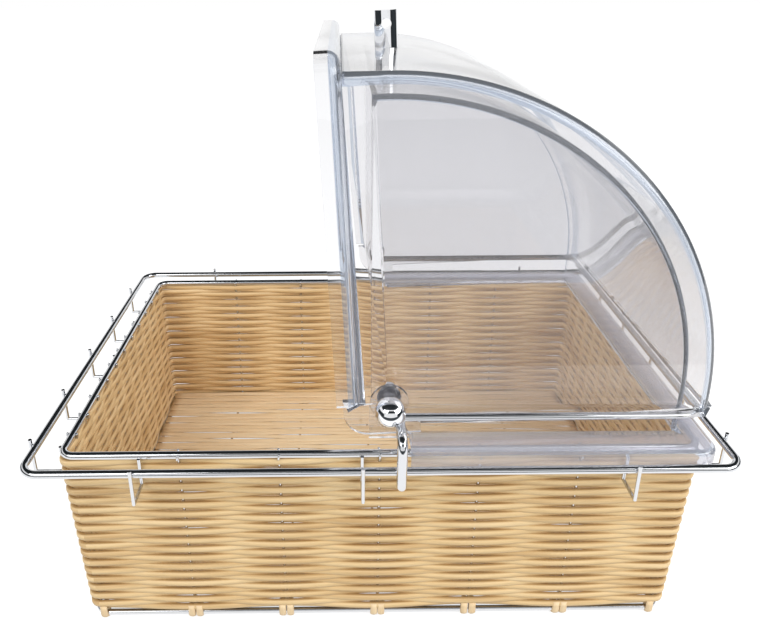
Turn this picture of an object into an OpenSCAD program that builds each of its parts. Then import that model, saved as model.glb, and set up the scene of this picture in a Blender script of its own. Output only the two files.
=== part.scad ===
// Roll-top bread basket: a tapered woven basket on a wire skeleton, held in a wire
// rail frame, under two nested clear quarter-round covers that share one hinge line.
// Millimetres. X is left to right, Y is front to back, Z is up.
// The origin is the centre of the basket on the table, and the front is at -Y.

/* [Basket] */
// Width of the basket at its rim wire, centre to centre
rim_w = 506; // [420:2:600]
// Depth of the basket at its rim wire, centre to centre
rim_d = 334; // [280:2:400]
// Height of the rim wire's centre above the table
rim_z = 175; // [130:1:210]
// How far each wall leans in from rim to base
taper = 4; // [0:1:16]
// Corner radius of the rim wire
rim_corner = 10; // [8:1:16]
// Corner radius of the base wire
base_corner = 12; // [9:1:18]
// Diameter of the rim wire
rim_wire = 6.5; // [5:0.5:8]
// Diameter of the base wire
base_wire = 5; // [4:0.5:7]

/* [Weave] */
// Rows of cane in each wall
rows = 34; // [16:1:36]
// Thickness of a woven wall
wall_t = 7.6; // [6.4:0.2:8]
// Thickness of the woven floor
floor_t = 5.4; // [4.6:0.2:6]
// Height of the floor's middle above the table
floor_z = 20; // [12:1:30]
// Diameter of the stakes that stiffen the walls and the floor
stake_d = 2.6; // [2:0.2:3.2]
// Stakes in the front wall, and as many in the back wall and the floor
long_stakes = 5; // [3:1:6]
// Spacing of those stakes
long_pitch = 80; // [60:1:84]
// Stakes in each side wall
side_stakes = 11; // [5:1:11]
// Spacing of the side stakes
side_pitch = 28; // [20:1:28]
// Thickness of the cane wrapped round the base wire
lash_t = 2; // [1.5:0.25:3]
// Width of one turn of that cane
lash_w = 4; // [3:0.5:5]

/* [Rail frame] */
// Distance from the rim wire out to the rail, centre to centre
rail_gap = 23.5; // [22.5:0.5:32]
// Height of the rail's centre above the table
rail_z = 176; // [130:1:208]
// Diameter of the rail wire
rail_wire = 6.5; // [5:0.5:7]
// Corner radius of the rail
rail_corner = 14; // [10:1:24]
// Diameter of the hook wire
hook_wire = 3; // [2:0.5:3.5]
// Depth of a hook below the rail's centre
hook_drop = 25; // [22:1:40]
// Height of a hook's free end above the rail's centre
hook_stub = 6; // [2:1:8]
// Hooks on each side rail
side_hooks = 5; // [2:1:5]
// Spacing of the side hooks
side_hook_pitch = 73; // [50:1:76]

/* [Covers] */
// Width of the moving cover's ledge, from its curved wall out to the rim wire
lid_ledge = 13; // [10:0.5:24]
// Wall thickness of both covers
cover_t = 4; // [3:0.5:5]
// Gap between the curved walls of the two covers
nest_gap = 8; // [6:0.5:12]
// Distance of the moving cover's end walls inside the rim wire
lid_inset = 7; // [4:0.5:22]
// Gap between the end walls of the two covers
end_gap = 4; // [3:0.5:6]
// Depth of the covers' turned-down edge
skirt_h = 13; // [9:0.5:16]
// Height of the hinge line above the rim wire's top
hinge_h = 41; // [39:0.5:46]
// Distance of the hinge line to the right of the middle
hinge_x = 7; // [0:1:12]
// How far the fixed cover reaches left of the hinge line
fixed_reach = 15; // [4:1:16]
// Turn of the moving cover from shut to open
open_angle = 87.3; // [84:0.1:89]

/* [Hinge] */
// Diameter of the hinge pins
pin_d = 8; // [6:0.5:9]
// Radial clearance of the pins in the covers
pin_fit = 0.05; // [0.02:0.01:0.1]
// Diameter of the ball heads
ball_d = 24; // [22:1:26]
// Diameter of the bracket wire above the flange
bracket_wire = 6.5; // [5:0.5:7]
// Diameter of the bracket posts
post_wire = 8; // [6:0.5:9]
// Distance of the bracket wire below the hinge line
bracket_drop = 12; // [11:0.5:13]
// Distance of the posts to the right of the hinge line
post_x = 8; // [6:0.5:9]

/* [Handle] */
// Diameter of the handle post
handle_d = 20; // [16:1:26]
// Length of the handle post
handle_l = 34; // [34:1:60]
// Diameter of the hole across the handle
handle_eye = 8.5; // [5:0.5:10]
// Distance of that hole from the handle's end
handle_eye_in = 11; // [10:0.5:15]
// Height of the handle above the hinge line with the cover shut
handle_z = 16; // [0:1:40]
// Diameter of the handle's screw
screw_d = 6; // [4:0.5:8]

/* [Hidden] */
$fn = 64;
weld = 0.3;                     // depth to which welded wires sink into each other
rest_gap = 0.5;                 // play left where the moving cover comes to rest
row_core = 0.62;                // share of the wall that lies behind the cane rows
base_z = lash_t + base_wire / 2;
base_hx = rim_w / 2 - taper;
base_hy = rim_d / 2 - taper;
rim_hx = rim_w / 2;
rim_hy = rim_d / 2;
rail_hx = rim_hx + rail_gap;
rail_hy = rim_hy + rail_gap;
wall_z0 = base_z + base_wire / 2;
wall_z1 = rim_z - rim_wire / 2;
row_pitch = (wall_z1 - wall_z0) / rows;
floor_gap = 0.3;                // from the floor's edge to the walls
hook_in = rim_wire / 2 + hook_wire / 2 - weld;
hook_out = rail_wire / 2 + hook_wire / 2 - weld;
front_hook_x = [-190, -14, 195];

// covers, measured from the hinge line
flange_z = rim_z + rim_wire / 2;
hinge_z = flange_z + hinge_h;
skirt_gap = 2.5;                // from a hook's inner leg to the turned-down edge
skirt_hx = rim_hx + hook_in + hook_wire / 2 + skirt_gap + cover_t;
skirt_hy = rim_hy + hook_in + hook_wire / 2 + skirt_gap + cover_t;
lid_r = rim_hx + hinge_x - lid_ledge;
lid_hy = rim_hy - lid_inset;
fixed_r = lid_r - cover_t - nest_gap;
fixed_hy = lid_hy - cover_t - end_gap;
fixed_flange_x = 17;            // where the fixed cover's flange starts, right of the hinge
lid_flange_x = 4;               // where the moving cover's flange starts, left of the hinge
flange_corner = 14;
lid_skirt_hx = rim_hx + cover_t / 2;    // the moving cover's edge stands on the rim wire
lid_skirt_hy = rim_hy + cover_t / 2;
lid_low = rest_gap + skirt_h - cover_t - hinge_h;
ear_reach = 28;                 // moving cover's end walls past the hinge line
ear_top = 24;
ear_round = 20;
ear_gap = 1;                    // from the end walls' lobes to the fixed flange
boss_d = 31;
boss_h = 1.2;
bracket_gap = 2;                // from the moving cover's end wall to the bracket wire
bracket_y = lid_hy + bracket_gap + bracket_wire / 2;
bracket_z = hinge_z - bracket_drop;
bracket_x = hinge_x + lid_r - cover_t / 2;
bracket_bend = 14;
post_y = rail_hy + rail_wire / 2 + post_wire / 2 - weld;
post_z0 = rail_z - 8;
post_bend = 8;
// reach of the moving cover's wall past the hinge line, so that it lands on the bracket
run_top = bracket_wire / 2 - bracket_drop;
lid_reach = ((lid_r - cover_t) * cos(open_angle) - run_top - rest_gap) / sin(open_angle);
// hinge pieces along Y
ball_y = lid_hy + 16;
nut_d = 15;
nut_l = 7;
spacer_d = 20;
spacer_play = 0.15;
// handle screw
screw_grip = 14;
washer_d = 16;
washer_t = 1.5;
// the curved wall falls away from the washer's flat face by this much under its rim,
// and the wall leans by the handle's height over the hinge line
washer_seat = (lid_r - cover_t) - sqrt(pow(lid_r - cover_t, 2) - pow(handle_z + washer_d / 2, 2));
screw_head_d = 11;
screw_head_h = 4;

// ---- shared shapes ----

// A straight wire between two points
module rod(p, q, d) {
    v = q - p;
    length = norm(v);
    translate(p)
        rotate([0, acos(v[2] / length), atan2(v[1], v[0])])
            cylinder(h = length, d = d);
}

// A quarter bend of wire round Z, from +X to +Y
module bend(r, d) {
    rotate_extrude(angle = 90) translate([r, 0]) circle(d = d);
}

// A closed rectangle of wire in the XY plane
module wire_frame(hx, hy, r, d) {
    for (s = [-1, 1]) {
        rod([r - hx, s * hy, 0], [hx - r, s * hy, 0], d);
        rod([s * hx, r - hy, 0], [s * hx, hy - r, 0], d);
    }
    for (a = [0, 180]) {
        rotate(a) translate([hx - r, hy - r, 0]) bend(r, d);
        rotate(a) mirror([1, 0, 0]) translate([hx - r, hy - r, 0]) bend(r, d);
    }
}

// A rectangle with round corners
module round_rect(hx, hy, r) {
    square([2 * (hx - r), 2 * hy], center = true);
    square([2 * hx, 2 * (hy - r)], center = true);
    for (x = [r - hx, hx - r], y = [r - hy, hy - r]) translate([x, y]) circle(r);
}

// How far a wall has leaned out at height z
function lean(z) = taper * (z - base_z) / (rim_z - base_z);

// ---- woven basket ----

// Section of a woven wall: a core with a row of cane on each face
module weave_section() {
    core = wall_t * row_core / 2;
    side = wall_t / 2 - row_pitch / 2;
    polygon([
        [lean(wall_z0) - core, wall_z0], [lean(wall_z0) + core, wall_z0],
        [lean(wall_z1) + core, wall_z1], [lean(wall_z1) - core, wall_z1]
    ]);
    for (i = [0 : rows - 1], s = [-1, 1]) {
        z = wall_z0 + (i + 0.5) * row_pitch;
        translate([lean(z) + s * side, z]) circle(d = row_pitch, $fn = 24);
    }
}

// A wall that faces +X, mitred into its neighbours, with holes for its stakes
module woven_wall(dist, span, stakes, pitch) {
    k = dist - span;
    near = dist - wall_t;
    far = dist + taper + wall_t;
    difference() {
        intersection() {
            rotate([90, 0, 0])
                linear_extrude(2 * (span + taper + wall_t), center = true)
                    translate([dist, 0]) weave_section();
            linear_extrude(rim_z)
                polygon([[near, near - k], [far, far - k], [far, k - far], [near, k - near]]);
        }
        wall_stakes(dist, stakes, pitch);
    }
}

// The leaning stakes of a wall that faces +X
module wall_stakes(dist, count, pitch) {
    z0 = base_z + base_wire / 2 - weld;
    z1 = rim_z - rim_wire / 2 + weld;
    for (i = [0 : count - 1]) {
        y = (i - (count - 1) / 2) * pitch;
        rod([dist + lean(z0), y, z0], [dist + lean(z1), y, z1], stake_d);
    }
}

module front_face() { rotate(-90) children(); }
module back_face() { rotate(90) children(); }
module left_face() { rotate(180) children(); }

module base_wire_frame() {
    color("silver") translate([0, 0, base_z])
        wire_frame(base_hx, base_hy, base_corner, base_wire);
}

module rim_wire_frame() {
    color("silver") translate([0, 0, rim_z])
        wire_frame(rim_hx, rim_hy, rim_corner, rim_wire);
}

// The floor wires run from each front stake to the back stake behind it
module floor_rods() {
    reach = base_hy + lean(floor_z) - stake_d / 2 + weld;
    for (i = [0 : long_stakes - 1]) {
        x = (i - (long_stakes - 1) / 2) * long_pitch;
        rod([x, -reach, floor_z], [x, reach, floor_z], stake_d);
    }
}

module floor_wires() { color("silver") floor_rods(); }

module front_stakes() {
    color("silver") front_face() wall_stakes(base_hy, long_stakes, long_pitch);
}

module back_stakes() {
    color("silver") back_face() wall_stakes(base_hy, long_stakes, long_pitch);
}

module left_stakes() {
    color("silver") left_face() wall_stakes(base_hx, side_stakes, side_pitch);
}

module right_stakes() {
    color("silver") wall_stakes(base_hx, side_stakes, side_pitch);
}

// The cane gives way to the inner legs of the hooks
module woven_front() {
    color("burlywood") front_face() difference() {
        woven_wall(base_hy, base_hx, long_stakes, long_pitch);
        rotate(90) floor_rods();
        hook_row(rim_hy, front_hook_x);
    }
}

module woven_back() {
    color("burlywood") back_face() difference() {
        woven_wall(base_hy, base_hx, long_stakes, long_pitch);
        rotate(90) floor_rods();
        hook_row(rim_hy, -front_hook_x);
    }
}

module woven_left() {
    color("burlywood") left_face() difference() {
        woven_wall(base_hx, base_hy, side_stakes, side_pitch);
        hook_row(rim_hx, -side_hook_y);
    }
}

module woven_right() {
    color("burlywood") difference() {
        woven_wall(base_hx, base_hy, side_stakes, side_pitch);
        hook_row(rim_hx, side_hook_y);
    }
}

module woven_floor() {
    edge = lean(floor_z - floor_t / 2) - wall_t / 2 - floor_gap;
    color("burlywood") difference() {
        translate([0, 0, floor_z - floor_t / 2]) linear_extrude(floor_t)
            round_rect(base_hx + edge, base_hy + edge, 2);
        floor_rods();
    }
}

// One turn of cane round a wire that runs along X; its ends go up into the weave
module lashing() {
    inner = base_wire / 2;
    half = inner + lash_t;
    rotate([90, 0, 90]) linear_extrude(lash_w, center = true) difference() {
        union() {
            translate([-half, -inner]) square([2 * half, 2 * inner]);
            translate([-inner, -half]) square([2 * inner, half]);
            for (s = [-1, 1]) translate([s * inner, -inner]) circle(lash_t);
        }
        circle(inner);
        translate([-inner, 0]) square([2 * inner, half]);
    }
}

module base_lashings() {
    pair = lash_w / 2 + 1.5;
    color("burlywood") for (y = [-base_hy, base_hy]) translate([0, y, base_z]) {
        for (i = [0 : long_stakes - 1], s = [-1, 1]) {
            x = (i - (long_stakes - 1) / 2) * long_pitch;
            translate([x + s * pair, 0, 0]) lashing();
        }
        for (s = [-1, 1]) translate([s * (base_hx - base_corner - lash_w / 2), 0, 0]) lashing();
    }
}

// ---- rail frame ----

module rail_frame() {
    color("silver") translate([0, 0, rail_z])
        wire_frame(rail_hx, rail_hy, rail_corner, rail_wire);
}

// A trough-shaped hook on the +X side, from the rail down and up to the rim wire
module hook(rim_half) {
    x0 = rim_half + rail_gap + hook_out;
    x1 = rim_half + hook_in;
    low = rail_z - hook_drop;
    rod([x0, 0, rail_z + hook_stub], [x0, 0, low], hook_wire);
    rod([x0, 0, low], [x1, 0, low], hook_wire);
    rod([x1, 0, low], [x1, 0, rim_z], hook_wire);
    for (x = [x0, x1]) translate([x, 0, low]) sphere(d = hook_wire);
}

module hook_row(rim_half, places) {
    for (y = places) translate([0, y, 0]) hook(rim_half);
}

side_hook_y = [for (i = [0 : side_hooks - 1]) -9 + (i - (side_hooks - 1) / 2) * side_hook_pitch];

module front_hooks() { color("silver") front_face() hook_row(rim_hy, front_hook_x); }
module back_hooks() { color("silver") back_face() hook_row(rim_hy, -front_hook_x); }
module left_hooks() { color("silver") left_face() hook_row(rim_hx, -side_hook_y); }
module right_hooks() { color("silver") hook_row(rim_hx, side_hook_y); }

// ---- hinge bracket ----

// The wire loop that runs round the covers, just above their flange
module bracket_loop() {
    x0 = hinge_x + post_x;
    color("silver") translate([0, 0, bracket_z]) {
        for (s = [-1, 1]) {
            rod([x0, s * bracket_y, 0], [bracket_x - bracket_bend, s * bracket_y, 0], bracket_wire);
            translate([x0, s * bracket_y, 0]) sphere(d = bracket_wire);
        }
        rod([bracket_x, bracket_bend - bracket_y, 0], [bracket_x, bracket_y - bracket_bend, 0], bracket_wire);
        translate([bracket_x - bracket_bend, bracket_y - bracket_bend, 0]) bend(bracket_bend, bracket_wire);
        mirror([0, 1, 0])
            translate([bracket_x - bracket_bend, bracket_y - bracket_bend, 0]) bend(bracket_bend, bracket_wire);
    }
}

// A post on the back rail's outer side, bent over towards the bracket loop
module post() {
    x = hinge_x + post_x;
    y1 = bracket_y + bracket_wire / 2 - weld;
    translate([x, 0, 0]) {
        translate([0, post_y, post_z0]) sphere(d = post_wire);
        rod([0, post_y, post_z0], [0, post_y, bracket_z - post_bend], post_wire);
        rod([0, post_y - post_bend, bracket_z], [0, y1, bracket_z], post_wire);
        translate([0, post_y - post_bend, bracket_z - post_bend])
            rotate([90, 0, 90]) bend(post_bend, post_wire);
    }
}

module bracket_posts() {
    color("silver") {
        post();
        mirror([0, 1, 0]) post();
    }
}

// Hinge pin with its ball head, on the back side; the ball is seated on the post
module hinge_pin() {
    inner = fixed_hy - cover_t - nut_l;
    difference() {
        translate([hinge_x, 0, hinge_z]) union() {
            translate([0, ball_y, 0]) sphere(d = ball_d);
            rod([0, inner, 0], [0, ball_y, 0], pin_d);
        }
        post();
        bracket_loop();
    }
}

module front_hinge_pin() { color("silver") mirror([0, 1, 0]) hinge_pin(); }
module rear_hinge_pin() { color("silver") hinge_pin(); }

// A ring round the hinge line, between two distances from the middle
module hinge_ring(d, y0, y1) {
    translate([hinge_x, 0, hinge_z]) difference() {
        rod([0, y0, 0], [0, y1, 0], d);
        rod([0, y0 - 1, 0], [0, y1 + 1, 0], pin_d);
    }
}

module hinge_spacers() {
    color("gainsboro") for (m = [0, 1]) mirror([0, m, 0])
        hinge_ring(spacer_d, fixed_hy, fixed_hy + end_gap - spacer_play);
}

module hinge_nuts() {
    color("silver") for (m = [0, 1]) mirror([0, m, 0])
        hinge_ring(nut_d, fixed_hy - cover_t - nut_l, fixed_hy - cover_t);
}

// ---- covers ----

// Outline of a cover's end wall on the +X side of the hinge: reach is how far it goes
// past the hinge line, low is its lower edge
module quarter_outline(r, reach, low) {
    intersection() {
        circle(r, $fn = 180);
        translate([-reach, 0]) square([r + reach, r]);
    }
    translate([-reach, low]) square([r + reach, -low]);
}

// Plan of the flange's outer edge, from x0 to the right end, with round right corners
module flange_plan(x0, x1, hy, r) {
    translate([x0, -hy]) square([x1 - r - x0, 2 * hy]);
    translate([x0, r - hy]) square([x1 - x0, 2 * (hy - r)]);
    for (s = [-1, 1]) translate([x1 - r, s * (hy - r)]) circle(r);
}

// A clear cover on the +X side of the hinge line: a curved wall, two end walls, and a
// flange with a turned-down edge. Measured from the hinge line.
module cover_shell(r, hy, reach, flange_x0, flange_x1, flange_hy, corner, low) {
    difference() {
        union() {
            rotate([90, 0, 0]) linear_extrude(2 * hy, center = true)
                quarter_outline(r, reach, low);
            translate([0, 0, low + cover_t - skirt_h]) linear_extrude(skirt_h)
                flange_plan(flange_x0, flange_x1, flange_hy, corner);
        }
        rotate([90, 0, 0]) linear_extrude(2 * (hy - cover_t), center = true)
            quarter_outline(r - cover_t, reach + 1, low - 1);
        translate([0, 0, low - skirt_h]) linear_extrude(skirt_h)
            flange_plan(-reach - 1, flange_x1 - cover_t, flange_hy - cover_t, corner - cover_t);
        translate([-r, 0, low - skirt_h - 1]) linear_extrude(skirt_h + 1)
            translate([0, 1 - hy]) square([r + flange_x0, 2 * hy - 2]);
        rod([0, -hy - 1, 0], [0, hy + 1, 0], pin_d + 2 * pin_fit);
    }
}

module fixed_cover() {
    color("lightcyan", 0.4) translate([hinge_x, 0, hinge_z])
        cover_shell(fixed_r, fixed_hy, fixed_reach, fixed_flange_x, skirt_hx - hinge_x,
            skirt_hy, flange_corner, -hinge_h);
}

// The moving cover and its handle are placed as shut, then turned open about the hinge
module opened() {
    translate([hinge_x, 0, hinge_z]) rotate([0, open_angle, 0]) children();
}

// End wall lobe past the hinge line, in the plane of the end wall
module ear(low) {
    x0 = lid_flange_x;
    difference() {
        translate([-x0, low]) square([ear_reach + x0, ear_top - low]);
        translate([ear_reach - ear_round, low]) square([ear_round + 1, ear_round]);
    }
    intersection() {
        translate([ear_reach - ear_round, low + ear_round]) circle(ear_round);
        translate([-x0, low]) square([ear_reach + x0, ear_top - low]);
    }
}

module moving_cover() {
    ear_low = cover_t + ear_gap - hinge_h;
    color("lightcyan", 0.4) opened() difference() {
        union() {
            difference() {
                mirror([1, 0, 0])
                    cover_shell(lid_r, lid_hy, lid_reach, lid_flange_x, lid_skirt_hx + hinge_x,
                        lid_skirt_hy, rim_corner + cover_t / 2, lid_low);
                translate([-lid_flange_x, -lid_skirt_hy, lid_low - skirt_h])
                    cube([lid_r, 2 * lid_skirt_hy, ear_top + skirt_h - lid_low]);
            }
            for (s = [-1, 1]) translate([0, s * (lid_hy - cover_t / 2), 0])
                rotate([90, 0, 0]) linear_extrude(cover_t, center = true) ear(ear_low);
            for (s = [-1, 1]) rod([0, s * (lid_hy - cover_t), 0], [0, s * (lid_hy + boss_h), 0], boss_d);
        }
        rod([0, -lid_hy - 2, 0], [0, lid_hy + 2, 0], pin_d + 2 * pin_fit);
        rod([-lid_r - 1, 0, handle_z], [-lid_r / 2, 0, handle_z], screw_d);
    }
}

// ---- handle ----

module handle_post() {
    color("silver") opened() difference() {
        rod([cover_t - lid_r, 0, handle_z], [-lid_r - handle_l, 0, handle_z], handle_d);
        rotate([90, 0, 0]) cylinder(h = handle_d + 2, r = lid_r, center = true, $fn = 180);
        translate([handle_eye_in - lid_r - handle_l, 0, handle_z])
            rotate([90, 0, 0]) cylinder(h = handle_d + 2, d = handle_eye, center = true);
        rod([-lid_r - screw_grip, 0, handle_z], [-lid_r / 2, 0, handle_z], screw_d);
    }
}

module handle_washer() {
    x = cover_t - lid_r + washer_seat;
    color("gainsboro") opened() difference() {
        rod([x, 0, handle_z], [x + washer_t, 0, handle_z], washer_d);
        rod([x - 1, 0, handle_z], [x + washer_t + 1, 0, handle_z], screw_d);
    }
}

module handle_screw() {
    x = cover_t - lid_r + washer_seat + washer_t;
    color("silver") opened() {
        rod([-lid_r - screw_grip, 0, handle_z], [x + 1, 0, handle_z], screw_d);
        rod([x, 0, handle_z], [x + screw_head_h, 0, handle_z], screw_head_d);
    }
}

base_wire_frame();
rim_wire_frame();
floor_wires();
front_stakes();
back_stakes();
left_stakes();
right_stakes();
woven_front();
woven_back();
woven_left();
woven_right();
woven_floor();
base_lashings();
rail_frame();
front_hooks();
back_hooks();
left_hooks();
right_hooks();
bracket_posts();
bracket_loop();
front_hinge_pin();
rear_hinge_pin();
hinge_spacers();
hinge_nuts();
fixed_cover();
moving_cover();
handle_post();
handle_screw();
handle_washer();
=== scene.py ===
# %% [markdown]
# A countertop bread basket with a clear roll-top cover
# The basket is cane woven round chrome wire, it hangs in a chrome rail, and two clear
# quarter-round covers share one hinge line over it. The hard parts come from the packed
# CAD frame. This script weaves the cane, gives every part its finish, and sets the stage.

# %% Load the frame
import math

import bmesh
import bpy
from mathutils import Matrix, Vector


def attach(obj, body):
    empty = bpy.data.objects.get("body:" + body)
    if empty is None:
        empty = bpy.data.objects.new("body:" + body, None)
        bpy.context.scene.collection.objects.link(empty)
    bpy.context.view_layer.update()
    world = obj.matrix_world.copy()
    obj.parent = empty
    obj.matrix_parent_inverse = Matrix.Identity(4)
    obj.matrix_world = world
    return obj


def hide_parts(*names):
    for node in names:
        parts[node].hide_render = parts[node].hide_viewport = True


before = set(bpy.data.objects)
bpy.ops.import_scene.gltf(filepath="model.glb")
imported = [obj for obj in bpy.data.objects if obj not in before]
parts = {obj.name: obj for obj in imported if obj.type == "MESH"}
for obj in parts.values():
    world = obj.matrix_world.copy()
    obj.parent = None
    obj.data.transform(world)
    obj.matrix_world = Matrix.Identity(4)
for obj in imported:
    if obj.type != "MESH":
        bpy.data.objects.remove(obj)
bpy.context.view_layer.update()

# %% [markdown]
# The photograph looks down at the basket from a little left of its middle, with the lens
# shifted down so that the upright lines stay nearly parallel. The camera could be aimed by
# a constraint, but a matrix made of three turns says exactly where it looks: down by the
# pitch, then a touch of heading and tilt.

# %% Set the camera
PHOTO_WIDTH = 760
FOCAL_PIXELS = 705.1
PRINCIPAL = (343.7, 249.9)
PHOTO_CENTRE = (380, 321.5)
SENSOR_MM = 36

camera_data = bpy.data.cameras.new("photo_camera")
camera_data.sensor_width = SENSOR_MM
camera_data.lens = FOCAL_PIXELS * SENSOR_MM / PHOTO_WIDTH
camera_data.shift_x = (PHOTO_CENTRE[0] - PRINCIPAL[0]) / PHOTO_WIDTH
camera_data.shift_y = (PRINCIPAL[1] - PHOTO_CENTRE[1]) / PHOTO_WIDTH
camera_data.clip_start = 0.01
camera = bpy.data.objects.new("photo_camera", camera_data)
bpy.context.scene.collection.objects.link(camera)
CAMERA_PLACE = (-0.0287, -0.6283, 0.5298)
PITCH_DOWN = math.radians(21.46)
HEADING, TILT = -0.0029, -0.0075
camera.matrix_world = (
    Matrix.Translation(CAMERA_PLACE)
    @ Matrix.Rotation(HEADING, 4, "Z")
    @ Matrix.Rotation(math.pi / 2 - PITCH_DOWN, 4, "X")
    @ Matrix.Rotation(TILT, 4, "Z")
)
bpy.context.scene.camera = camera
print("lens", round(camera_data.lens, 2), "mm")

# %% [markdown]
# Each finish is a small node tree round one Principled shader. A helper that makes the
# tree and a helper that adds a linked node keep the cells below short.

# %% Helpers for finishes
def new_finish(name):
    finish = bpy.data.materials.new(name)
    finish.use_nodes = True
    tree = finish.node_tree
    return finish, tree, tree.nodes["Principled BSDF"]


def add_node(tree, kind, sources=(), **settings):
    node = tree.nodes.new(kind)
    for key, value in settings.items():
        if key in node.inputs:
            node.inputs[key].default_value = value
        else:
            setattr(node, key, value)
    for socket, source in sources:
        tree.links.new(source, node.inputs[socket])
    return node


def set_shader(shader, **values):
    for key, value in values.items():
        shader.inputs[key.replace("_", " ")].default_value = value


# %% [markdown]
# The wires are chrome plated. Chrome takes nearly all its look from what it mirrors, so the
# finish is plain metal with a faint unevenness: plating over drawn wire is never as true as
# a mirror. Noise in the roughness and a very low bump do that.

# %% Chrome
def chrome_finish(name, tone, smooth, rough, waviness):
    finish, tree, shader = new_finish(name)
    set_shader(shader, Base_Color=(*tone, 1), Metallic=1.0)
    place = add_node(tree, "ShaderNodeTexCoord")
    haze = add_node(tree, "ShaderNodeTexNoise", [("Vector", place.outputs["Object"])],
                    Scale=70.0, Detail=3.0)
    spread = add_node(tree, "ShaderNodeMapRange", [("Value", haze.outputs["Fac"])])
    spread.inputs["To Min"].default_value = smooth
    spread.inputs["To Max"].default_value = rough
    tree.links.new(spread.outputs["Result"], shader.inputs["Roughness"])
    ripple = add_node(tree, "ShaderNodeTexNoise", [("Vector", place.outputs["Object"])],
                      Scale=35.0, Detail=1.0)
    bump = add_node(tree, "ShaderNodeBump", [("Height", ripple.outputs["Fac"])],
                    Strength=waviness, Distance=0.001)
    tree.links.new(bump.outputs["Normal"], shader.inputs["Normal"])
    return finish


wire_chrome = chrome_finish("wire_chrome", (0.66, 0.67, 0.69), 0.05, 0.13, 0.12)
bright_chrome = chrome_finish("bright_chrome", (0.80, 0.81, 0.83), 0.02, 0.06, 0.02)
screw_steel = chrome_finish("screw_steel", (0.66, 0.67, 0.68), 0.22, 0.34, 0.1)

# %% [markdown]
# The covers are clear moulded plastic. Its colour is nearly white with a touch of violet,
# because each pass through a face takes a little light. The rounded folds trap light, which
# would leave them black, so they get a grey blue finish of their own: painted light for the
# bright bands that the folds bend. The fixed cover's ledge gets a slightly milky grey one:
# painted sheen for the sky that its flat top mirrors. Lamps would be stopped by clear
# plastic, so shadow and diffuse rays go through a transparent shader instead.

# %% Clear plastic
def clear_finish(name, tone, sharp, rough, through=0.99):
    finish, tree, shader = new_finish(name)
    set_shader(shader, Base_Color=(*tone, 1), Transmission_Weight=through, IOR=1.47)
    place = add_node(tree, "ShaderNodeTexCoord")
    wear = add_node(tree, "ShaderNodeTexNoise", [("Vector", place.outputs["Object"])],
                    Scale=22.0, Detail=4.0)
    spread = add_node(tree, "ShaderNodeMapRange", [("Value", wear.outputs["Fac"])])
    spread.inputs["To Min"].default_value = sharp
    spread.inputs["To Max"].default_value = rough
    tree.links.new(spread.outputs["Result"], shader.inputs["Roughness"])
    drift = add_node(tree, "ShaderNodeTexNoise", [("Vector", place.outputs["Object"])],
                     Scale=7.0, Detail=1.0)
    bump = add_node(tree, "ShaderNodeBump", [("Height", drift.outputs["Fac"])],
                    Strength=0.1, Distance=0.002)
    tree.links.new(bump.outputs["Normal"], shader.inputs["Normal"])
    see_through = add_node(tree, "ShaderNodeBsdfTransparent", Color=(0.93, 0.93, 0.95, 1))
    path = add_node(tree, "ShaderNodeLightPath")
    soft = add_node(tree, "ShaderNodeMath", [(0, path.outputs["Is Shadow Ray"]),
                                             (1, path.outputs["Is Diffuse Ray"])],
                    operation="MAXIMUM")
    mix = add_node(tree, "ShaderNodeMixShader", [(0, soft.outputs[0]), (1, shader.outputs[0]),
                                                 (2, see_through.outputs[0])])
    tree.links.new(mix.outputs[0], tree.nodes["Material Output"].inputs["Surface"])
    return finish


clear_plastic = clear_finish("clear_plastic", (0.885, 0.883, 0.893), 0.0, 0.02)
# Painted light: a lighter grey blue finish for the bright bands in the rounded folds.
fold_painted_light = clear_finish("fold_painted_light", (0.64, 0.69, 0.77), 0.0, 0.04, through=0.86)
# Painted sheen: a milky grey finish for the sky that the ledge's flat top mirrors.
ledge_painted_sheen = clear_finish("ledge_painted_sheen", (0.72, 0.72, 0.77), 0.05, 0.14, through=0.8)
spacer_plastic = clear_finish("spacer_plastic", (0.93, 0.94, 0.95), 0.12, 0.22)

# %% [markdown]
# The cane is a smooth tan strand with fine lengthwise grain. Every strand is laid with UVs
# that run along it, in metres, and the second coordinate steps on by one for each strand.
# Noise stretched along the first coordinate is grain, and noise that follows the second
# one gives each strand its own tint, as in a real bundle of cane. The part of the second
# coordinate after the point runs round the strand, so its two edges are painted darker and
# browner: painted shade for the shadow that falls in the gaps between the strands.

# %% Cane
# The brown of the painted shade that darkens each strand's edges, for the shadow between
# strands.
EDGE_SHADE_TONE = (0.30, 0.15, 0.035)
STRAND_SIDES = 10


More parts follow.
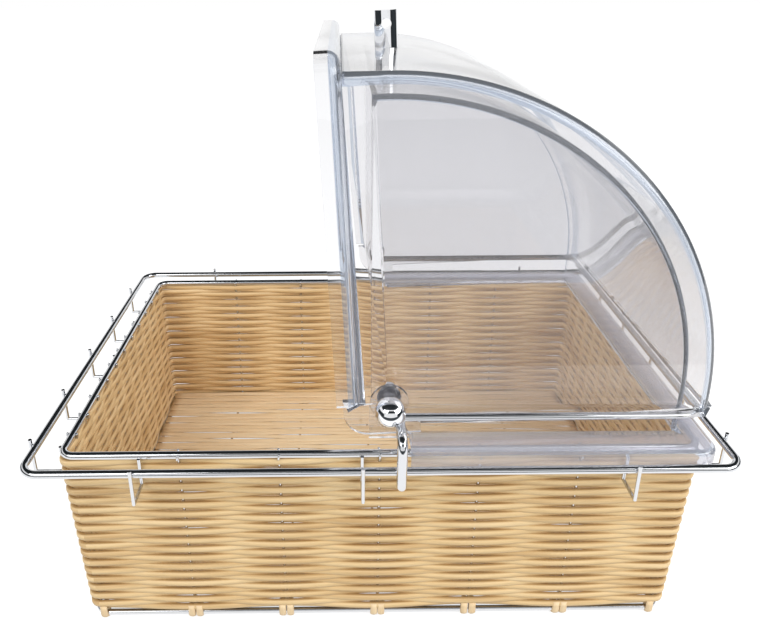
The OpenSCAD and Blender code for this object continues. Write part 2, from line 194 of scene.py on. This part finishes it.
def cane_finish(name, light, middle, dark, edge_shade):
    finish, tree, shader = new_finish(name)
    set_shader(shader, Specular_IOR_Level=0.45)
    uv = add_node(tree, "ShaderNodeUVMap", uv_map="strand")

    def stretched_noise(along, across, detail):
        scale = add_node(tree, "ShaderNodeMapping", [("Vector", uv.outputs[0])])
        scale.inputs["Scale"].default_value = (along, across, 1)
        return add_node(tree, "ShaderNodeTexNoise", [("Vector", scale.outputs[0])],
                        Scale=1.0, Detail=detail)

    tint = stretched_noise(7, 2.3, 2.0)
    ramp = add_node(tree, "ShaderNodeValToRGB", [("Fac", tint.outputs["Fac"])])
    ramp.color_ramp.elements[0].position = 0.3
    ramp.color_ramp.elements[0].color = (*dark, 1)
    ramp.color_ramp.elements[1].position = 0.72
    ramp.color_ramp.elements[1].color = (*light, 1)
    ramp.color_ramp.elements.new(0.5).color = (*middle, 1)
    grain = stretched_noise(40, 26, 4.0)
    grain_tone = add_node(tree, "ShaderNodeMapRange", [("Value", grain.outputs["Fac"])])
    grain_tone.inputs["From Min"].default_value = 0.3
    grain_tone.inputs["From Max"].default_value = 0.7
    grain_tone.inputs["To Min"].default_value = 0.9
    grain_tone.inputs["To Max"].default_value = 1.06
    tone = add_node(tree, "ShaderNodeVectorMath", [(0, ramp.outputs["Color"]),
                                                   (1, grain_tone.outputs["Result"])],
                    operation="MULTIPLY")
    # Painted shade: the strand's two edges are mixed towards the brown, for the shadow in the
    # gaps between strands.
    across = add_node(tree, "ShaderNodeSeparateXYZ", [("Vector", uv.outputs[0])])
    turn = add_node(tree, "ShaderNodeMath", [(0, across.outputs["Y"])], operation="MULTIPLY_ADD")
    turn.inputs[1].default_value = 2 * math.pi
    turn.inputs[2].default_value = math.pi / STRAND_SIDES
    edge = add_node(tree, "ShaderNodeMath", [(0, turn.outputs[0])], operation="COSINE")
    edge = add_node(tree, "ShaderNodeMath", [(0, edge.outputs[0]), (1, edge.outputs[0])],
                    operation="MULTIPLY")
    edge = add_node(tree, "ShaderNodeMath", [(0, edge.outputs[0])], operation="POWER")
    edge.inputs[1].default_value = 3.0
    shade = add_node(tree, "ShaderNodeMapRange", [("Value", edge.outputs[0])])
    shade.inputs["To Max"].default_value = edge_shade
    shaded = add_node(tree, "ShaderNodeMixRGB", [("Fac", shade.outputs["Result"]),
                                                 ("Color1", tone.outputs[0])],
                      Color2=(*EDGE_SHADE_TONE, 1))
    tree.links.new(shaded.outputs[0], shader.inputs["Base Color"])
    gloss = add_node(tree, "ShaderNodeMapRange", [("Value", grain.outputs["Fac"])])
    gloss.inputs["To Min"].default_value = 0.34
    gloss.inputs["To Max"].default_value = 0.52
    tree.links.new(gloss.outputs["Result"], shader.inputs["Roughness"])
    bump = add_node(tree, "ShaderNodeBump", [("Height", grain.outputs["Fac"])],
                    Strength=0.35, Distance=0.0004)
    tree.links.new(bump.outputs["Normal"], shader.inputs["Normal"])
    return finish


wall_cane = cane_finish("wall_cane",
                        (0.86, 0.645, 0.36), (0.78, 0.555, 0.28), (0.60, 0.385, 0.17), 0.68)
floor_cane = cane_finish("floor_cane",
                         (0.92, 0.73, 0.46), (0.88, 0.67, 0.41), (0.82, 0.60, 0.34), 0.15)

# %% [markdown]
# One routine sweeps a section along a path, and all the cane and the small wire turns use
# it. A curve object with a bevel could do it too, but it turns its flat sections as it
# likes. Here the wide side of the section follows a direction that the path gives, and the
# mesh gets the UVs that the cane finish needs.

# %% Sweep a strand along a path
def oval_section(width, thick, sides=STRAND_SIDES, squareness=0.75):
    section = []
    for k in range(sides):
        turn = 2 * math.pi * (k + 0.5) / sides
        c, s = math.cos(turn), math.sin(turn)
        section.append((math.copysign(abs(c) ** squareness, c) * width / 2,
                        math.copysign(abs(s) ** squareness, s) * thick / 2))
    return section


class StrandMesh:
    def __init__(self):
        self.points, self.faces, self.uvs, self.strands = [], [], [], 0

    def lay(self, path, sides, section, closed=False):
        count, around = len(path), len(section)
        start = len(self.points)
        travelled = 0.0
        lengths = []
        for i in range(count):
            ahead = path[(i + 1) % count] if closed or i < count - 1 else path[i]
            behind = path[i - 1] if closed or i > 0 else path[i]
            along = (ahead - behind).normalized()
            face_out = along.cross(sides[i]).normalized()
            wide = face_out.cross(along).normalized()
            for a, b in section:
                self.points.append(path[i] + wide * a + face_out * b)
            lengths.append(travelled)
            travelled += (path[(i + 1) % count] - path[i]).length
        for i in range(count if closed else count - 1):
            j = (i + 1) % count
            u0, u1 = lengths[i], lengths[i] + (path[j] - path[i]).length
            for k in range(around):
                m = (k + 1) % around
                self.faces.append((start + i * around + k, start + i * around + m,
                                   start + j * around + m, start + j * around + k))
                v0, v1 = self.strands + k / around, self.strands + (k + 1) / around
                self.uvs.extend([(u0, v0), (u0, v1), (u1, v1), (u1, v0)])
        if not closed:
            for i, order in ((0, -1), (count - 1, 1)):
                ring = [start + i * around + k for k in range(around)][::order]
                self.faces.append(tuple(ring))
                self.uvs.extend([(lengths[i], self.strands)] * around)
        self.strands += 1

    def build(self, name, finish, body):
        mesh = bpy.data.meshes.new(name)
        mesh.from_pydata(self.points, [], self.faces)
        layer = mesh.uv_layers.new(name="strand")
        layer.data.foreach_set("uv", [c for uv in self.uvs for c in uv])
        mesh.polygons.foreach_set("use_smooth", [True] * len(mesh.polygons))
        mesh.materials.append(finish)
        piece = bpy.data.objects.new(name, mesh)
        bpy.context.scene.collection.objects.link(piece)
        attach(piece, body)
        print(name, self.strands, "strands,", len(self.faces), "faces")
        return piece


# %% [markdown]
# The walls are one continuous weave. Each row passes in front of one wire stake and behind
# the next, and the row above does the opposite. A row is a closed loop round the basket:
# its path runs along four straight sides and round four corners, and a cosine swings it
# out and in between the stakes. That gives the long lens shapes of the front wall and the
# tight checks of the side walls from the same rule. The strands are thick and their swing
# is small, so that the weave looks closed: they run through the wire stakes, not round them.

# %% Weave the walls
BASE_HALF = (0.249, 0.163)
BASE_Z, RIM_Z, TAPER = 0.0045, 0.175, 0.004
WALL_LOW, WALL_HIGH = 0.0095, 0.17175
ROWS = 34
CORNER = 0.006
LONG_STAKES = [(i - 2) * 0.080 for i in range(5)]
SIDE_STAKES = [(i - 5) * 0.028 for i in range(11)]
WALL_CANE = oval_section(0.0058, 0.0042, squareness=0.68)
LONG_SWING, SIDE_SWING = 0.0019, 0.0013
ROW_DRIFT = 0.00035


def lean(z):
    return TAPER * (z - BASE_Z) / (RIM_Z - BASE_Z)


def loop_sides(hx, hy, corner):
    """The four sides of a row as (start, direction, outward, half length, stakes)."""
    right, back = Vector((1, 0, 0)), Vector((0, 1, 0))
    return [
        (Vector((corner - hx, -hy, 0)), right, -back, hx, LONG_STAKES),
        (Vector((hx, corner - hy, 0)), back, right, hy, SIDE_STAKES),
        (Vector((hx - corner, hy, 0)), -right, back, hx, LONG_STAKES),
        (Vector((-hx, hy - corner, 0)), -back, -right, hy, SIDE_STAKES),
    ]


def row_path(row, z):
    hx, hy = BASE_HALF[0] + lean(z), BASE_HALF[1] + lean(z)
    path, distance, knots = [], 0.0, []
    corner_length = CORNER * math.pi / 2
    for start, along, outward, half, stakes in loop_sides(hx, hy, CORNER):
        length = 2 * (half - CORNER)
        stops = [s + half - CORNER for s in stakes]
        knots.extend(distance + stop for stop in stops)
        spans = [0.0] + stops + [length]
        for a, b in zip(spans, spans[1:]):
            steps = 8 if b - a > 0.04 else 5
            for k in range(steps):
                s = a + (b - a) * k / steps
                path.append((start + along * s, outward, distance + s))
        centre = start + along * length - outward * CORNER
        knots.append(distance + length + corner_length / 2)
        for k in range(5):
            turn = math.pi / 2 * k / 5
            out = outward * math.cos(turn) + along * math.sin(turn)
            path.append((centre + out * CORNER, out, distance + length + corner_length * k / 5))
        distance += length + corner_length
    return path, knots, distance


def swing_at(s, knots, total, parity):
    """Out is +1 and in is -1, at alternate stakes, with a cosine between them."""
    for i, knot in enumerate(knots):
        if s < knot:
            before = knots[i - 1] - (total if i == 0 else 0)
            share = (s - before) / (knot - before)
            sign = 1 if (i + parity) % 2 else -1
            return sign * math.cos(math.pi * share)
    share = (s - knots[-1]) / (knots[0] + total - knots[-1])
    sign = 1 if (len(knots) + parity) % 2 else -1
    return sign * math.cos(math.pi * share)


def unevenness(strand, s, scale):
    """A slow, repeatable wander of a strand, between about -1 and 1."""
    return (math.sin(strand * 12.9 + s * scale) + math.sin(strand * 4.7 - s * scale * 1.7)) / 2


walls = StrandMesh()
row_step = (WALL_HIGH - WALL_LOW) / ROWS
for row in range(ROWS):
    z = WALL_LOW + (row + 0.5) * row_step
    path, knots, total = row_path(row, z)
    centres, sides = [], []
    loop_scale = 2 * math.pi * 3 / total
    for point, outward, s in path:
        swing = LONG_SWING * outward.y ** 2 + SIDE_SWING * outward.x ** 2
        out = swing * swing_at(s, knots, total, row % 2)
        drift = ROW_DRIFT * unevenness(row + 1, s, loop_scale * 2)
        centres.append(point + outward * out + Vector((0, 0, z + drift)))
        sides.append((Vector((0, 0, 1)) + outward * (TAPER / (RIM_Z - BASE_Z))).normalized())
    walls.lay(centres, sides, WALL_CANE, closed=True)
woven_walls = walls.build("woven_walls", wall_cane, "basket")
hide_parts("woven_front", "woven_back", "woven_left", "woven_right")

# %% [markdown]
# The floor is woven flat and tight over the wires that run from front to back. Its strands
# lie side by side along the basket and rise and dip only a little, so they are laid with a
# small swing and a slow sideways wander that opens a gap here and there, as in the photo.

# %% Weave the floor
FLOOR_Z = 0.0216
FLOOR_ROWS = 49
FLOOR_HALF = (0.2452, 0.1592)
FLOOR_CANE = oval_section(0.0064, 0.0017, squareness=0.6)
FLOOR_SWING = 0.00045
FLOOR_WANDER = 0.0011

floor_weave = StrandMesh()
floor_step = 2 * FLOOR_HALF[1] / FLOOR_ROWS
floor_knots = [-FLOOR_HALF[0]] + LONG_STAKES + [FLOOR_HALF[0]]
for row in range(FLOOR_ROWS):
    y = -FLOOR_HALF[1] + (row + 0.5) * floor_step
    centres = []
    for a, b in zip(floor_knots, floor_knots[1:]):
        span = floor_knots.index(a)
        for k in range(8):
            share = k / 8
            x = a + (b - a) * share
            sign = 1 if (span + row) % 2 else -1
            rise = FLOOR_SWING * sign * math.cos(math.pi * share)
            edge = 1 - (abs(y) / FLOOR_HALF[1]) ** 6
            wander = FLOOR_WANDER * edge * unevenness(row * 0.31 + 2, x, 21)
            centres.append(Vector((x, y + wander, FLOOR_Z + rise)))
    centres.append(Vector((FLOOR_HALF[0], y, FLOOR_Z)))
    floor_weave.lay(centres, [Vector((0, 1, 0))] * len(centres), FLOOR_CANE)
woven_base = floor_weave.build("floor_weave", floor_cane, "basket")
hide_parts("woven_floor")

# %% [markdown]
# The base wire is held to the weave by turns of cane along the front and the back: two at
# each stake and one near each corner. Each is a U that comes out of the weave, goes round
# the wire and back up.

# %% Lash the base wire
LASH_CANE = oval_section(0.0062, 0.0028, squareness=0.9)
LASH_RADIUS = 0.0031
LASH_RISE = (0.0145, 0.0105, 0.0075)
LASH_PAIR = (-0.0034, 0.0033)
LASH_ENDS = [-0.240, 0.240]

lashings = StrandMesh()
for side in (-1, 1):
    places = [x + shift for x in LONG_STAKES for shift in LASH_PAIR] + LASH_ENDS
    for number, x in enumerate(places):
        base_y = side * BASE_HALF[1]
        slant = 0.0006 * unevenness(number * 3 + side, 0, 1)
        centres = []
        for z in LASH_RISE:
            centres.append(Vector((x + slant, base_y + side * LASH_RADIUS, z)))
        for k in range(9):
            turn = math.pi * k / 8
            centres.append(Vector((x + slant * math.cos(turn),
                                   base_y + side * LASH_RADIUS * math.cos(turn),
                                   BASE_Z - LASH_RADIUS * math.sin(turn))))
        for z in reversed(LASH_RISE):
            centres.append(Vector((x - slant, base_y - side * LASH_RADIUS, z)))
        lashings.lay(centres, [Vector((1, 0, 0))] * len(centres), LASH_CANE)
cane_lashings = lashings.build("cane_lashings", floor_cane, "basket")
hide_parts("base_lashings")

# %% [markdown]
# At its top each stake is turned round the rim wire. The turns show as a row of small
# chrome knots inside and outside the rim, and leave its top free for the covers to lie on.

# %% Turn the stakes round the rim
TURN_WIRE = oval_section(0.0021, 0.0021, sides=8, squareness=1.0)
TURN_RADIUS = 0.0042
TURN_OUTER = (-75, 30)
TURN_INNER = (150, 262)

turns = StrandMesh()


def stake_turn(place, outward, along):
    for first, last in (TURN_OUTER, TURN_INNER):
        centres, wide = [], []
        for k in range(8):
            share = k / 7
            angle = math.radians(first + (last - first) * share)
            centres.append(place + outward * (TURN_RADIUS * math.cos(angle))
                           + Vector((0, 0, TURN_RADIUS * math.sin(angle)))
                           + along * (0.0012 * (share - 0.5)))
            wide.append(along)
        turns.lay(centres, wide, TURN_WIRE)


RIM_HALF = (BASE_HALF[0] + TAPER, BASE_HALF[1] + TAPER)
for side in (-1, 1):
    for x in LONG_STAKES:
        stake_turn(Vector((x, side * RIM_HALF[1], RIM_Z)),
                   Vector((0, side, 0)), Vector((1, 0, 0)))
    for y in SIDE_STAKES:
        stake_turn(Vector((side * RIM_HALF[0], y, RIM_Z)),
                   Vector((side, 0, 0)), Vector((0, 1, 0)))
turns.build("stake_turns", wire_chrome, "basket")

# %% [markdown]
# The two covers are moulded from one clear sheet each: a curved wall, two end walls, a
# ledge and a turned-down edge, with soft rounds where they meet. Those rounds bend the
# light into the bands that the photograph shows along every edge. A single skin is laid
# first, a Bevel rounds all its folds, and a Solidify then gives it the sheet's thickness,
# so inside and outside stay parallel everywhere, as in the moulding.

# %% Mould the covers
HINGE = Vector((0.007, 0, 0.21925))
OPEN_TURN = Matrix.Rotation(math.radians(87.3), 4, "Y")
SHEET = 0.004
PIN_HOLE = 0.00405
FOLD_ROUND = 0.0042


def arc(centre, radius, first, last, steps):
    angles = [math.radians(first + (last - first) * k / steps) for k in range(steps + 1)]
    return [(centre[0] + radius * math.cos(a), centre[1] + radius * math.sin(a)) for a in angles]


def cover_skin(half, outline, wall_points, ledge_end, ledge_half, corner, skirt):
    """A cover's points (away from the hinge, depth, up), faces, and where its ledge starts."""
    points, faces = [], []

    def put(u, v, w):
        points.append((u, v, w))
        return len(points) - 1

    rims, holes = [], []
    for side in (-1, 1):
        rims.append([put(u, side * half, w) for u, w in outline])
        holes.append([put(u * PIN_HOLE / math.hypot(u, w), side * half,
                          w * PIN_HOLE / math.hypot(u, w)) for u, w in outline])
    count = len(outline)
    for rim, hole in zip(rims, holes):
        for k in range(count):
            m = (k + 1) % count
            faces.append((rim[k], rim[m], hole[m], hole[k]))
    for k in range(wall_points - 1):
        faces.append((rims[0][k], rims[0][k + 1], rims[1][k + 1], rims[1][k]))
    ledge_from = len(faces)
    start, level = outline[-1]
    plan = arc((ledge_end - corner, corner - ledge_half), corner, -90, 0, 6)
    plan = [(start, -ledge_half)] + plan
    plan += [(u, -v) for u, v in reversed(plan)]
    edge = [put(u, v, level) for u, v in plan]
    low = [put(u, v, level - skirt) for u, v in plan]
    middle = len(plan) // 2
    inner = ([rims[0][-1]] + [rims[0][0]] * (middle - 1)
             + [rims[1][0]] * (middle - 1) + [rims[1][-1]])
    for k in range(len(plan) - 1):
        ring = [inner[k], edge[k], edge[k + 1], inner[k + 1]]
        faces.append(tuple(dict.fromkeys(ring)))
        faces.append((edge[k], low[k], low[k + 1], edge[k + 1]))
    return points, faces, ledge_from


def mould_cover(name, body, node, skin, place, ledge_finish):
    points, faces, ledge_from = skin
    mesh = bpy.data.meshes.new(name)
    mesh.from_pydata([place(*point) for point in points], [], faces)
    form = bmesh.new()
    form.from_mesh(mesh)
    bmesh.ops.recalc_face_normals(form, faces=form.faces)
    widest = max(form.faces, key=lambda f: (f.calc_area() * abs(f.normal.x)
                                            * (f.calc_center_median().z > HINGE.z)))
    outward = widest.calc_center_median() - HINGE
    outward.y = 0
    if widest.normal.dot(outward) < 0:
        bmesh.ops.reverse_faces(form, faces=form.faces)
    form.to_mesh(mesh)
    form.free()
    mesh.polygons.foreach_set("use_smooth", [True] * len(mesh.polygons))
    mesh.materials.append(clear_plastic)
    mesh.materials.append(ledge_finish)
    mesh.materials.append(fold_painted_light)
    for face in mesh.polygons[ledge_from:]:
        face.material_index = 1
    cover = bpy.data.objects.new(name, mesh)
    bpy.context.scene.collection.objects.link(cover)
    rounds = cover.modifiers.new("round_folds", "BEVEL")
    # The round faces take the third finish, the painted light of the folds.
    rounds.width, rounds.segments, rounds.material = FOLD_ROUND, 4, 2
    rounds.limit_method, rounds.angle_limit = "ANGLE", math.radians(40)
    thick = cover.modifiers.new("sheet_thickness", "SOLIDIFY")
    thick.thickness, thick.offset, thick.use_even_offset = SHEET, -1, True
    split = cover.modifiers.new("crisp_rims", "EDGE_SPLIT")
    split.split_angle = math.radians(35)
    cover.modifiers.new("flat_faces_flat", "WEIGHTED_NORMAL")
    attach(cover, body)
    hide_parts(node)
    print(name, len(faces), "faces in the skin")
    return cover


FIXED_R, LID_R = 0.235, 0.247
FIXED_REACH, LID_REACH = 0.015, 0.01972


def arc_past_top(radius, reach):
    """The curved wall's arc, from level with the hinge to a little way past its top."""
    return arc((0, 0), radius, 0, 90 + math.degrees(math.asin(reach / radius)), 90)


fixed_outline = [(FIXED_R, -0.037)] + arc_past_top(FIXED_R, FIXED_REACH)
fixed_wall = len(fixed_outline)
fixed_outline += [(-FIXED_REACH, -0.041), (0.017, -0.041), (0.017, -0.037)]
fixed_skin = cover_skin(0.152, fixed_outline, fixed_wall, 0.25845, 0.17945, 0.014, 0.013)
# The fixed cover's ledge and edge take the painted sheen finish.
mould_cover("fixed_clear_cover", "basket", "fixed_cover", fixed_skin,
            lambda u, v, w: HINGE + Vector((u, v, w)), ledge_painted_sheen)

lid_outline = [(LID_R, -0.0275)] + arc_past_top(LID_R, LID_REACH)
lid_wall = len(lid_outline)
lid_outline += [(-LID_REACH, 0.024), (-0.028, 0.024)]
lid_outline += arc((-0.008, -0.016), 0.020, 180, 270, 8)
lid_outline += [(0.004, -0.036), (0.004, -0.0275)]
lid_skin = cover_skin(0.160, lid_outline, lid_wall, 0.262, 0.169, 0.012, 0.013)
mould_cover("moving_clear_cover", "cover", "moving_cover", lid_skin,
            lambda u, v, w: HINGE + OPEN_TURN @ Vector((-u, v, w)), clear_plastic)

# %% [markdown]
# Round each pivot the moulding is thicker: a low ring stands up from the moving cover's end
# walls. It is turned from a small profile, like a washer on a lathe.

# %% Pivot rings
BOSS_PROFILE = [(0.0070, -0.0004), (0.0070, 0.0012), (0.0147, 0.0012), (0.0155, 0.0006),
                (0.0155, -0.0004)]
BOSS_STEPS = 64
ring_points, ring_faces = [], []
for side in (-1, 1):
    start = len(ring_points)
    for k in range(BOSS_STEPS):
        turn = 2 * math.pi * k / BOSS_STEPS
        for radius, height in BOSS_PROFILE:
            ring_points.append(HINGE + Vector((radius * math.cos(turn), side * (0.160 + height),
                                               radius * math.sin(turn))))
    size = len(BOSS_PROFILE)
    for k in range(BOSS_STEPS):
        for m in range(size):
            a, b = k * size, (k + 1) % BOSS_STEPS * size
            ring = (a + m, b + m, b + (m + 1) % size, a + (m + 1) % size)
            ring_faces.append(tuple(start + i for i in ring[::side]))
ring_mesh = bpy.data.meshes.new("pivot_rings")
ring_mesh.from_pydata(ring_points, [], ring_faces)
ring_mesh.polygons.foreach_set("use_smooth", [True] * len(ring_faces))
ring_mesh.materials.append(clear_plastic)
pivot_rings = bpy.data.objects.new("pivot_rings", ring_mesh)
bpy.context.scene.collection.objects.link(pivot_rings)
pivot_rings.modifiers.new("crisp_rims", "EDGE_SPLIT").split_angle = math.radians(35)
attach(pivot_rings, "cover")
print("pivot rings", len(ring_faces), "faces")

# %% [markdown]
# The CAD parts keep their shapes. The small moulded and turned ones get a round on their
# edges from a Bevel modifier, after a Weld modifier has joined the faces that the file
# format keeps apart, because a sharp edge without a highlight never looks real. The handle
# post is left as it is: rounding the rim of its cross hole bent the light along its side.

# %% Finish the CAD parts
CHROME_PARTS = ["base_wire_frame", "rim_wire_frame", "floor_wires", "front_stakes",
                "back_stakes", "left_stakes", "right_stakes", "rail_frame", "front_hooks",
                "back_hooks", "left_hooks", "right_hooks", "bracket_posts", "bracket_loop"]
FINISHES = {name: wire_chrome for name in CHROME_PARTS}
FINISHES.update(front_hinge_pin=bright_chrome, rear_hinge_pin=bright_chrome,
                hinge_nuts=bright_chrome, hinge_spacers=spacer_plastic,
                handle_post=bright_chrome, handle_screw=screw_steel,
                handle_washer=spacer_plastic)
ROUNDS = {"handle_screw": 0.0004, "handle_washer": 0.0003,
          "hinge_nuts": 0.0005, "hinge_spacers": 0.0005}

for name, finish in FINISHES.items():
    part = parts[name]
    part.data.materials.clear()
    part.data.materials.append(finish)
    if name in ROUNDS:
        weld = part.modifiers.new("join_faces", "WELD")
        weld.merge_threshold = 0.000005
        round_edges = part.modifiers.new("round_edges", "BEVEL")
        round_edges.width = ROUNDS[name]
        round_edges.segments = 3
        round_edges.limit_method = "ANGLE"
        round_edges.angle_limit = math.radians(35)
        round_edges.harden_normals = True
print("finished", len(FINISHES), "CAD parts")

# %% [markdown]
# The stage is a wide pale floor. To the camera it shows as white, as the photograph's
# background does, but it still takes the object's shadow: part of its brightness is its
# own glow for camera, mirror and glass rays, and the rest is light that a shadow can cut.

# %% Floor and world
def show_rays(tree):
    path = add_node(tree, "ShaderNodeLightPath")
    first = add_node(tree, "ShaderNodeMath", [(0, path.outputs["Is Camera Ray"]),
                                              (1, path.outputs["Is Glossy Ray"])],
                     operation="MAXIMUM")
    return add_node(tree, "ShaderNodeMath", [(0, first.outputs[0]),
                                             (1, path.outputs["Is Transmission Ray"])],
                    operation="MAXIMUM").outputs[0]


floor_finish, floor_tree, floor_shader = new_finish("pale_floor")
set_shader(floor_shader, Base_Color=(0.42, 0.42, 0.42, 1), Roughness=0.9,
           Specular_IOR_Level=0.0, Emission_Color=(1, 1, 1, 1))
glow = add_node(floor_tree, "ShaderNodeMath", [(0, show_rays(floor_tree))],
                operation="MULTIPLY")
glow.inputs[1].default_value = 0.76
floor_tree.links.new(glow.outputs[0], floor_shader.inputs["Emission Strength"])

FLOOR_REACH = 12.0
floor_mesh = bpy.data.meshes.new("studio_floor")
floor_mesh.from_pydata([(-FLOOR_REACH, -FLOOR_REACH, 0), (FLOOR_REACH, -FLOOR_REACH, 0),
                        (FLOOR_REACH, FLOOR_REACH, 0), (-FLOOR_REACH, FLOOR_REACH, 0)],
                       [], [(0, 1, 2, 3)])
floor_mesh.materials.append(floor_finish)
studio_floor = bpy.data.objects.new("studio_floor", floor_mesh)
bpy.context.scene.collection.objects.link(studio_floor)
studio_floor.location.z = -0.0002

world = bpy.data.worlds.new("studio")
bpy.context.scene.world = world
world.use_nodes = True
sky_tree = world.node_tree
sky_tree.nodes.clear()
sky_light = add_node(sky_tree, "ShaderNodeBackground",
                     Color=(0.96, 0.98, 1.0, 1), Strength=0.72)
sky_white = add_node(sky_tree, "ShaderNodeBackground",
                     Color=(1, 1, 1, 1), Strength=1.0)
sky_mix = add_node(sky_tree, "ShaderNodeMixShader", [(0, show_rays(sky_tree)),
                                                     (1, sky_light.outputs[0]),
                                                     (2, sky_white.outputs[0])])
add_node(sky_tree, "ShaderNodeOutputWorld", [("Surface", sky_mix.outputs[0])])

# %% [markdown]
# Chrome in an all-white studio looks like white paint. Photographers hang black cards so
# that the metal has something dark to mirror: one overhead, one high behind the camera, one
# flat on the floor in front, and one at each side. Here only mirror rays see the cards. If
# glass rays saw them too, they would show as dark shapes through the clear covers.

# %% Lamps and black cards
def soft_lamp(name, place, size, power):
    data = bpy.data.lights.new(name, "AREA")
    data.shape, data.size, data.energy = "SQUARE", size, power
    lamp = bpy.data.objects.new(name, data)
    lamp.location = place
    lamp.rotation_mode = "QUATERNION"
    lamp.rotation_quaternion = (Vector((0, 0, 0.15)) - Vector(place)).to_track_quat("-Z", "Y")
    bpy.context.scene.collection.objects.link(lamp)


soft_lamp("key_lamp", (-1.1, -1.3, 1.55), 1.2, 18)
soft_lamp("fill_lamp", (1.6, -1.0, 1.4), 1.6, 30)

card_finish, card_tree, card_shader = new_finish("black_card")
set_shader(card_shader, Base_Color=(0.040, 0.047, 0.052, 1), Roughness=0.9,
           Specular_IOR_Level=0.1)


def black_card(name, corners):
    mesh = bpy.data.meshes.new(name)
    mesh.from_pydata(corners, [], [(0, 1, 2, 3)])
    mesh.materials.append(card_finish)
    card = bpy.data.objects.new(name, mesh)
    bpy.context.scene.collection.objects.link(card)
    for kind in ("camera", "diffuse", "transmission", "shadow"):
        setattr(card, "visible_" + kind, False)


def flat_card(name, reach, near, far, height):
    black_card(name, [(-reach, near, height), (reach, near, height),
                      (reach, far, height), (-reach, far, height)])


def side_card(name, x, near, far, low, high):
    black_card(name, [(x, near, low), (x, far, low), (x, far, high), (x, near, high)])


CARD_REACH, CARD_NEAR = 2.4, -2.4
flat_card("card_overhead", 2.2, -1.3, 3.2, 1.6)
black_card("card_front", [(-CARD_REACH, CARD_NEAR, 1.3), (CARD_REACH, CARD_NEAR, 1.3),
                          (CARD_REACH, CARD_NEAR, 2.3), (-CARD_REACH, CARD_NEAR, 2.3)])
flat_card("card_low", CARD_REACH, CARD_NEAR, -0.55, 0.02)
side_card("card_left", -CARD_REACH, CARD_NEAR, 1.6, 0.01, 0.9)
side_card("card_right", CARD_REACH, CARD_NEAR, 1.6, 0.01, 0.9)
bpy.context.scene.view_settings.view_transform = "Standard"
